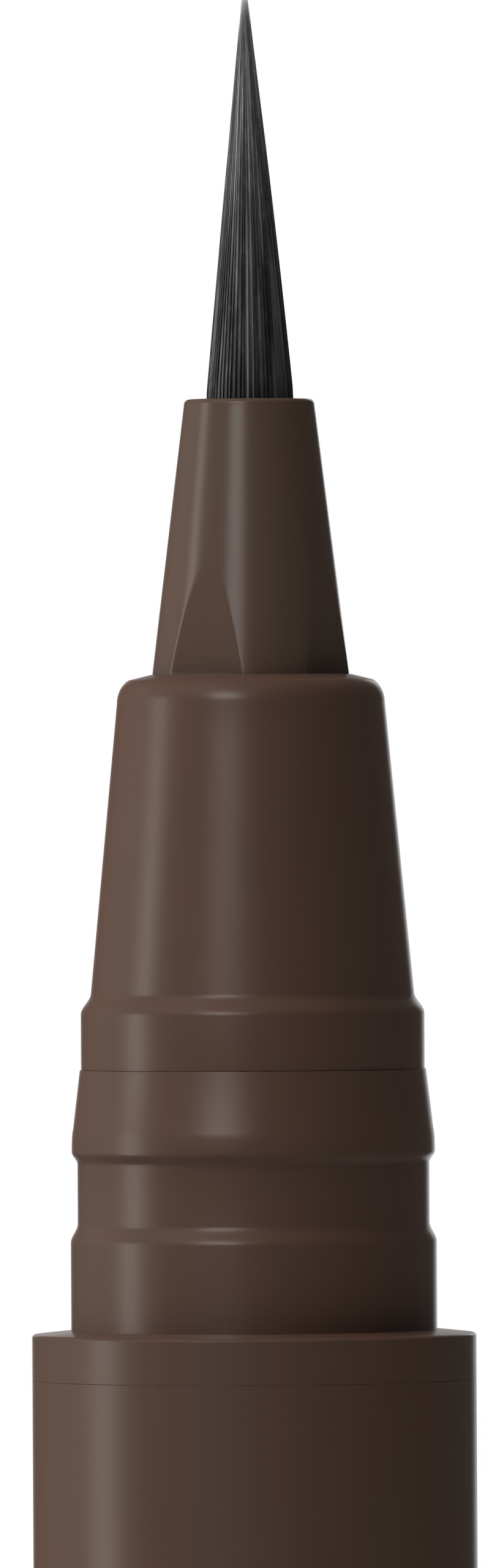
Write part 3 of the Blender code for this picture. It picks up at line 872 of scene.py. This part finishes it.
def fibre_finish(groups):
    """The pale bonded fibre of the feed rod."""
    material, tree, shader, place = new_finish("feed_fibre", fibre_roughness)
    streak = effect(tree, groups["fibre_streak"], {"Place": place, **fibre_streak})["Streak"]
    shade = blend(tree, streak, fibre_shaded, fibre_lit)
    feed(tree, shader, {"Base Color": shade, "Normal": relief(tree, streak, fibre_relief)})
    return material


def steel_finish(groups):
    """The polished ball, with the faint scuffs of its tumbling."""
    material, tree, shader, place = new_finish("ball_steel", steel_roughness, metallic=1.0)
    cloud = effect(tree, groups["moulded_skin"], {"Place": place, **steel_skin})["Gloss"]
    shade = blend(tree, cloud, steel_dark, steel_light)
    gloss = ranged(tree, cloud, noise_range, steel_roughness_range)
    feed(tree, shader, {"Base Color": shade, "Roughness": gloss})
    return material


def make_finishes():
    """The finish of every slot."""
    groups = {
        "hue_drift": hue_drift_group(),
        "moulded_skin": moulded_skin_group(),
        "edge_scuff_and_sheen": edge_scuff_and_sheen_group(),
        "fibre_streak": fibre_streak_group(),
    }
    finishes = {slot: moulded_finish(groups, *look) for slot, look in moulded_looks.items()}
    finishes["cap_plastic"] = finishes["pen_plastic"]
    finishes["filament"] = filament_finish(groups)
    finishes["feed_fibre"] = fibre_finish(groups)
    finishes["ball_steel"] = steel_finish(groups)
    return finishes


def new_object(name, data):
    """An object that is in the scene."""
    obj = bpy.data.objects.new(name, data)
    bpy.context.scene.collection.objects.link(obj)
    return obj


def new_mesh(name, shape):
    """The mesh of a bmesh, which is freed."""
    mesh = bpy.data.meshes.new(name)
    shape.to_mesh(mesh)
    shape.free()
    return mesh


def outline_object(name, outline):
    """A half section as edges, in the (radius, height) plane that the turning tree reads."""
    last = len(outline) - 1
    edges = [(index, index + 1) for index in range(last)]
    if runs_round(outline):
        edges.append((last, 0))
    mesh = bpy.data.meshes.new(name)
    mesh.from_pydata([(radius, height, 0.0) for radius, height, _ in outline], edges, [])
    # The corner mark, where the finish lays scuffing and a painted edge highlight
    scuff_and_sheen = mesh.attributes.new("scuff_and_sheen", "FLOAT", "POINT")
    scuff_and_sheen.data.foreach_set("value", [edge for _, _, edge in outline])
    return new_object(name, mesh)


def run_tree(obj, tree, **values):
    """Runs a Geometry Nodes tree on the object and keeps the result as its plain mesh."""
    modifier = obj.modifiers.new(tree.name, "NODES")
    modifier.node_group = tree
    for label, value in values.items():
        modifier[tree.interface.items_tree[label].identifier] = value
    graph = bpy.context.evaluated_depsgraph_get()
    mesh = bpy.data.meshes.new_from_object(obj.evaluated_get(graph))
    obj.modifiers.clear()
    shape = bmesh.new()
    shape.from_mesh(mesh)
    bmesh.ops.remove_doubles(shape, verts=shape.verts, dist=weld_reach)
    bmesh.ops.recalc_face_normals(shape, faces=shape.faces)
    shape.to_mesh(mesh)
    shape.free()
    mesh.name = obj.name
    mesh.shade_smooth()
    mesh.set_sharp_from_angle(angle=sharp_angle)
    obj.data = mesh
    return obj


def turned_piece(name, outline, tree, finish, sides=fine_sides, edge=small_edge):
    """A finished turned piece from its half section."""
    return run_tree(outline_object(name, eased(outline, edge)), tree, Sides=sides, Finish=finish)


def settle(obj, body, node):
    """The piece rides on its body and stands for its node, whose own mesh is hidden."""
    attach(obj, body)
    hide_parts(node)


def nose_outline():
    """The nose's half section: its skirt in the shell, its bores, its blunt tip and its taper."""
    lip_underside = shell_top - lip_height - play
    bush_bore = brush_bore + nose_bush_wall
    bush_seat = nose_top - nose_throat
    corner = (nose_tip_radius - nose_corner, nose_top - nose_corner)
    tip_corner = list(reversed(arc(corner, (nose_corner, nose_corner), 0.0, quarter_turn)))
    foot = shell_top + play
    return [
        (flange_radius, lip_underside),
        (flange_radius, nose_bottom),
        (bush_bore, nose_bottom),
        (bush_bore, bush_seat),
        (brush_bore, bush_seat),
        (brush_bore, nose_top),
        *tip_corner,
        *taper(tip_corner[-1], (nose_base_radius, foot), nose_taper_steps)[1:],
        (nose_base_radius, lip_underside),
    ]


def shell_outline():
    """The front shell's half section: lip, crowned top, shoulder, taper and ring."""
    bore_step = tongue_top + play
    lip_underside = shell_top - lip_height
    ring_top = shell_bottom + ring_height
    ring_bottom = shell_bottom - play + hairline
    taper_top = shell_top - shoulder_drop - shoulder_height
    taper_slope = shell_flare / shell_taper_length
    taper_length = shell_taper_length + flare_drop
    taper_end = (shell_top_radius + taper_slope * taper_length, taper_top - taper_length)
    shoulder = (shell_top_radius - shoulder_width, taper_top)
    shoulder_arc = arc(shoulder, (shoulder_width, shoulder_height), shoulder_start, 0.0)
    flare = sway((ring_radius, ring_top), taper_end)
    return [
        (nose_base_radius + play, shell_top + lip_rise, fine_edge),
        *shoulder_arc,
        *taper(shoulder_arc[-1], taper_end, shell_taper_steps)[1:-1],
        *reversed(flare),
        (ring_radius, ring_bottom, seam_edge),
        (tongue_radius + play, ring_bottom),
        (tongue_radius + play, bore_step),
        (shell_bore, bore_step),
        (shell_bore, lip_underside),
        (nose_base_radius + play, lip_underside),
    ]


def seal_groove(height):
    """The square groove of a seal ring in a piece of the collar's radius, from its top edge down."""
    top, bottom = height + seal_height / 2.0, height - seal_height / 2.0
    return [(collar_radius, top), (seal_floor, top), (seal_floor, bottom), (collar_radius, bottom)]


def neck_outline():
    """The neck's half section: tongue, bead, recess, collar, and the tail in the barrel."""
    roof = neck_top - neck_roof
    tongue_bore = tongue_radius - tongue_wall
    crown_radius = bead_radius - bead_crown_width_share * bead_swell
    crown_height = bead_bottom + bead_crown_share * bead_height
    crown_bulge = (bead_radius, crown_height - bead_crown_drop)
    undercut_top = (bead_radius, bead_bottom - undercut_ease)
    undercut = sway(undercut_top, (recess_radius, recess_top + undercut_foot))
    step = sway((recess_radius, recess_bottom), (collar_radius, collar_top + collar_step_lift))
    return [
        (tongue_radius, tongue_top),
        (tongue_radius, neck_top),
        (bead_top_radius, neck_top, seam_edge),
        *swell((crown_radius, crown_height), crown_bulge, undercut[0], bead_crown_steps),
        *undercut[1:],
        *step,
        *seal_groove(neck_bottom + seal_inset),
        (collar_radius, neck_bottom + tail_chamfer),
        (collar_radius - tail_chamfer, neck_bottom),
        (neck_bore, neck_bottom),
        (neck_bore, roof),
        (tongue_bore, roof),
        (tongue_bore, tongue_top),
    ]


def mouth_outline():
    """The centre ring's half section, with the thin sleeve let into the barrel."""
    ring_bottom = barrel_top + hairline
    corner_reach = mouth_corner * math.cos(math.radians(mouth_corner_end))
    corner = (barrel_radius - corner_reach, mouth_top - mouth_corner_drop)
    mouth_bore = collar_radius + hairline
    return [
        (mouth_bore, mouth_top + mouth_crown),
        *arc(corner, (mouth_corner, mouth_corner), mouth_corner_start, mouth_corner_end),
        (barrel_radius, ring_bottom),
        (ring_sleeve_radius, ring_bottom),
        (ring_sleeve_radius, mouth_bottom),
        (mouth_bore, mouth_bottom),
    ]


def barrel_outline():
    """The barrel's half section, stepped inside its mouth for the ring's sleeve."""
    sleeve_bore = ring_sleeve_radius + play
    sleeve_seat = mouth_bottom - play
    return [
        (barrel_radius, barrel_top),
        (barrel_radius, barrel_bottom),
        (barrel_bore, barrel_bottom),
        (barrel_bore, sleeve_seat),
        (sleeve_bore, sleeve_seat),
        (sleeve_bore, barrel_top),
    ]


def tail_outline():
    """The tail plug's half section: the plug in the barrel, its flange and the hollow post."""
    post_bore = ring_radius - post_wall
    corner = (barrel_radius - flange_corner, flange_bottom + flange_corner)
    return [
        (0.0, plug_top),
        (collar_radius - tail_chamfer, plug_top),
        (collar_radius, plug_top - tail_chamfer),
        *seal_groove(plug_top - seal_inset),
        (collar_radius, flange_top),
        (barrel_radius, flange_top),
        *arc(corner, (flange_corner, flange_corner), 0.0, -quarter_turn, flange_corner_steps),
        (ring_radius, flange_bottom),
        (ring_radius, plug_bottom + post_chamfer),
        (ring_radius - post_chamfer, plug_bottom),
        (post_bore, plug_bottom),
        (post_bore, flange_bottom - post_roof),
        (0.0, flange_bottom - post_roof),
    ]


def cap_tube_outline():
    """The half section of the cap's outer tube."""
    return [
        (barrel_radius - cap_mouth_edge, cap_mouth),
        (barrel_radius, cap_mouth - cap_mouth_edge),
        (barrel_radius, cap_bottom),
        (cap_bore, cap_bottom),
        (cap_bore, cap_mouth),
    ]


def cap_base_outline():
    """The half section of the cap's closed end: a dished foot and the hoop let into the tube."""
    hold_radius = cap_bore - play
    hold_bore = hold_radius - hold_wall_share * (hold_radius - liner_well_radius)
    corner = (barrel_radius - base_corner, base_corner)
    return [
        (0.0, base_top),
        (hold_bore, base_top),
        (hold_bore, base_hold_top),
        (hold_radius, base_hold_top),
        (hold_radius, base_top),
        (barrel_radius, base_top, seam_edge),
        *arc(corner, (base_corner, base_corner), 0.0, -quarter_turn),
        (barrel_radius - base_rim, 0.0),
        (barrel_radius - base_rim - base_dish, base_dish),
        (0.0, base_dish),
    ]


def liner_outline():
    """The inner cap's half section: a skirt with a snap ridge, a sealing bore and a well for the brush."""
    skirt_bore = collar_radius + cap_play
    ridge_bore = recess_radius + liner_ridge_gap
    ridge_middle = cap_mouth - (recess_bottom + recess_top - 2.0 * mouth_top) / 2.0
    ridge_half = liner_ridge_height / 2.0
    seal_top = cap_mouth - (neck_top - mouth_top)
    cone_top = cap_mouth - (shell_top - mouth_top) - liner_room
    cone_bottom = cone_top - liner_cone
    return [
        (0.0, liner_bottom),
        (liner_well_radius, liner_bottom),
        (liner_well_radius, cone_bottom),
        (liner_radius, cone_top),
        (liner_radius, liner_top),
        (skirt_bore + liner_inset, liner_top),
        (skirt_bore, liner_top - liner_lead),
        (skirt_bore, ridge_middle + ridge_half),
        (ridge_bore, ridge_middle),
        (skirt_bore, ridge_middle - ridge_half),
        (skirt_bore, seal_top + liner_lead),
        (liner_seal_bore, seal_top),
        (liner_seal_bore, cone_top),
        (liner_well_bore, cone_bottom),
        (liner_well_bore, liner_bottom + liner_floor),
        (0.0, liner_bottom + liner_floor),
    ]


def make_shells(turned, finishes):
    """The nose with its flats, then the other shells: half sections, edges, bodies, nodes and slots."""
    finish = finishes["nose_plastic"]
    nose = turned_piece("moulded_nose", nose_outline(), flatted_tree(turned), finish, sides=nose_sides)
    settle(nose, "pen", "nose_cone")
    shells = {
        "tapered_shell": (shell_outline(), small_edge, "pen", "front_shell", "pen_plastic"),
        "snap_neck": (neck_outline(), small_edge, "pen", "neck", "pen_plastic"),
        "mouth_ring": (mouth_outline(), seam_edge, "pen", "centre_ring", "pen_plastic"),
        "pen_tube": (barrel_outline(), seam_edge, "pen", "barrel", "pen_plastic"),
        "tail_stopper": (tail_outline(), small_edge, "pen", "tail_plug", "pen_plastic"),
        "cap_tube": (cap_tube_outline(), small_edge, "cap", "cap_shell", "cap_plastic"),
        "cap_base": (cap_base_outline(), small_edge, "cap", "cap_end", "cap_plastic"),
        "cap_liner": (liner_outline(), small_edge, "cap", "inner_cap", "inner_plastic"),
    }
    for name, (outline, edge, body, node, slot) in shells.items():
        settle(turned_piece(name, outline, turned, finishes[slot], edge=edge), body, node)


def make_tuft(turned, finishes):
    """The filaments on their bonded root, in place of the plain tuft."""
    finish = finishes["filament"]
    root_top = nose_top - tuft_foot_depth
    root = [(0.0, root_top), (brush_radius, root_top), (brush_radius, brush_bottom), (0.0, brush_bottom)]
    tuft = turned_piece("brush_tuft", root, turned, finish, sides=plain_sides)
    run_tree(tuft, tuft_tree(), Foot=root_top - play, Finish=finish)
    settle(tuft, "pen", "brush_tip")


def dress_node(name, finish):
    """A node whose shape is right keeps it and takes a better material."""
    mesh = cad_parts[name].data
    mesh.materials.clear()
    mesh.materials.append(finish)


def make_floor():
    """The pale floor that the pen stands on, which fades to white away from it for the camera."""
    shape = bmesh.new()
    bmesh.ops.create_grid(shape, x_segments=1, y_segments=1, size=floor_reach)
    floor = new_object("floor", new_mesh("floor", shape))
    material, tree, shader, place = new_finish("pale_floor", floor_roughness, specular=0.0)
    feed(tree, shader, {"Base Color": floor_colour})
    away = add(tree, "ShaderNodeVectorMath", {0: place}, operation="LENGTH").outputs["Value"]
    faded = ranged(tree, away, floor_fade, interpolation_type="SMOOTHSTEP")
    paper = blend(tree, faded, floor_colour, plain_white)
    glow = output_of(tree, "ShaderNodeEmission", {"Color": paper, "Strength": 1.0})
    seen = add(tree, "ShaderNodeLightPath").outputs["Is Camera Ray"]
    share = times(tree, seen, ranged(tree, faded, target=(floor_glow_share, 1.0)))
    mixed = output_of(tree, "ShaderNodeMixShader", {0: share, 1: shader.outputs[0], 2: glow})
    feed(tree, tree.nodes["Material Output"], {"Surface": mixed})
    floor.data.materials.append(material)
    floor.visible_glossy = False


def make_lamp(name, azimuth, elevation, distance, width, height, radiance, seen_by, target):
    """A soft box that faces the target and either lights the pen or is only mirrored in it.

    Azimuth 0 is the camera's side.
    """
    lamp = bpy.data.lights.new(name, "AREA")
    lamp.color = lamp_tints.get(name, plain_tint)
    lamp.shape = "RECTANGLE"
    lamp.size = width
    lamp.size_y = height
    lamp.energy = radiance * math.pi * width * height
    obj = new_object(name, lamp)
    turn = math.radians(azimuth)
    rise = math.radians(elevation)
    outward = math.cos(rise)
    away = Vector((math.sin(turn) * outward, -math.cos(turn) * outward, math.sin(rise)))
    obj.location = target + away * distance
    obj.rotation_euler = away.to_track_quat("Z", "Y").to_euler()
    obj.visible_camera = False
    obj.visible_diffuse = seen_by != "gloss"
    obj.visible_glossy = seen_by != "diffuse"


def hood_ring(shape, height):
    """One ring of the hood's corners."""
    turns = [math.radians(turn) for turn in range(0, full_turn, hood_step)]
    return [
        shape.verts.new((hood_radius * math.sin(turn), -hood_radius * math.cos(turn), height))
        for turn in turns
    ]


def make_hood():
    """The dark hood all round the pen, seen only in its gloss, with a window behind to the white."""
    shape = bmesh.new()
    foot, sill, brim = (hood_ring(shape, height) for height in (hood_bottom, window_top, hood_top))
    for index in range(len(foot)):
        following = (index + 1) % len(foot)
        shape.faces.new((sill[index], sill[following], brim[following], brim[index]))
        from_behind = abs((index + 0.5) * hood_step - full_turn / 2.0)
        if from_behind > window_half_turn:
            shape.faces.new((foot[index], foot[following], sill[following], sill[index]))
    shape.faces.new(brim)
    shape.faces.new(foot)
    hood = new_object("dark_hood", new_mesh("dark_hood", shape))
    material, tree = new_material("dark_hood")
    glow = output_of(tree, "ShaderNodeEmission", {"Color": hood_colour, "Strength": 1.0})
    feed(tree, tree.nodes["Material Output"], {"Surface": glow})
    hood.data.materials.append(material)
    hood.visible_camera = False
    hood.visible_diffuse = False
    hood.visible_shadow = False
    hood.visible_transmission = False


def make_world():
    """White for what the camera, gloss and glass see, and a softer level that fills the shadows."""
    world = bpy.data.worlds.new("studio")
    world.use_nodes = True
    world.cycles.sampling_method = "NONE"
    tree = world.node_tree
    rays = add(tree, "ShaderNodeLightPath").outputs
    seen = maths(tree, "MAXIMUM", rays["Is Camera Ray"], rays["Is Glossy Ray"])
    seen = maths(tree, "MAXIMUM", seen, rays["Is Transmission Ray"])
    level = ranged(tree, seen, target=(fill_level, 1.0))
    feed(tree, tree.nodes["Background"], {"Color": plain_white, "Strength": level})
    bpy.context.scene.world = world


def make_camera():
    """The photograph's camera: level, far off, and rolled by the pen's slight lean."""
    frame_height = frame_height_px / photo_px_per_metre
    centre_height = mouth_top + (photo_mouth_px - frame_height_px / 2.0) / photo_px_per_metre
    centre_side = (frame_width_px / 2.0 - photo_middle_px) / photo_px_per_metre
    lens = bpy.data.cameras.new("camera")
    lens.sensor_width = camera_sensor
    lens.lens = camera_sensor * camera_distance / frame_height
    lens.clip_start = camera_near
    lens.clip_end = camera_far
    camera = new_object("camera", lens)
    roll = Matrix.Rotation(camera_roll, 4, "Y")
    level = Matrix.Rotation(math.radians(quarter_turn), 4, "X")
    camera.matrix_world = Matrix.Translation((centre_side, -camera_distance, centre_height)) @ roll @ level
    bpy.context.scene.camera = camera
    return Vector((0.0, 0.0, centre_height))


def main():
    """Dresses the pen and sets up the studio."""
    target = make_camera()
    finishes = make_finishes()
    turned = turning_tree()
    make_shells(turned, finishes)
    make_tuft(turned, finishes)
    for node, slot in kept_nodes.items():
        dress_node(node, finishes[slot])
    make_floor()
    make_hood()
    make_world()
    for name, placing in lamps.items():
        make_lamp(name, *placing, target)
    bpy.context.scene.view_settings.view_transform = "Standard"


main()
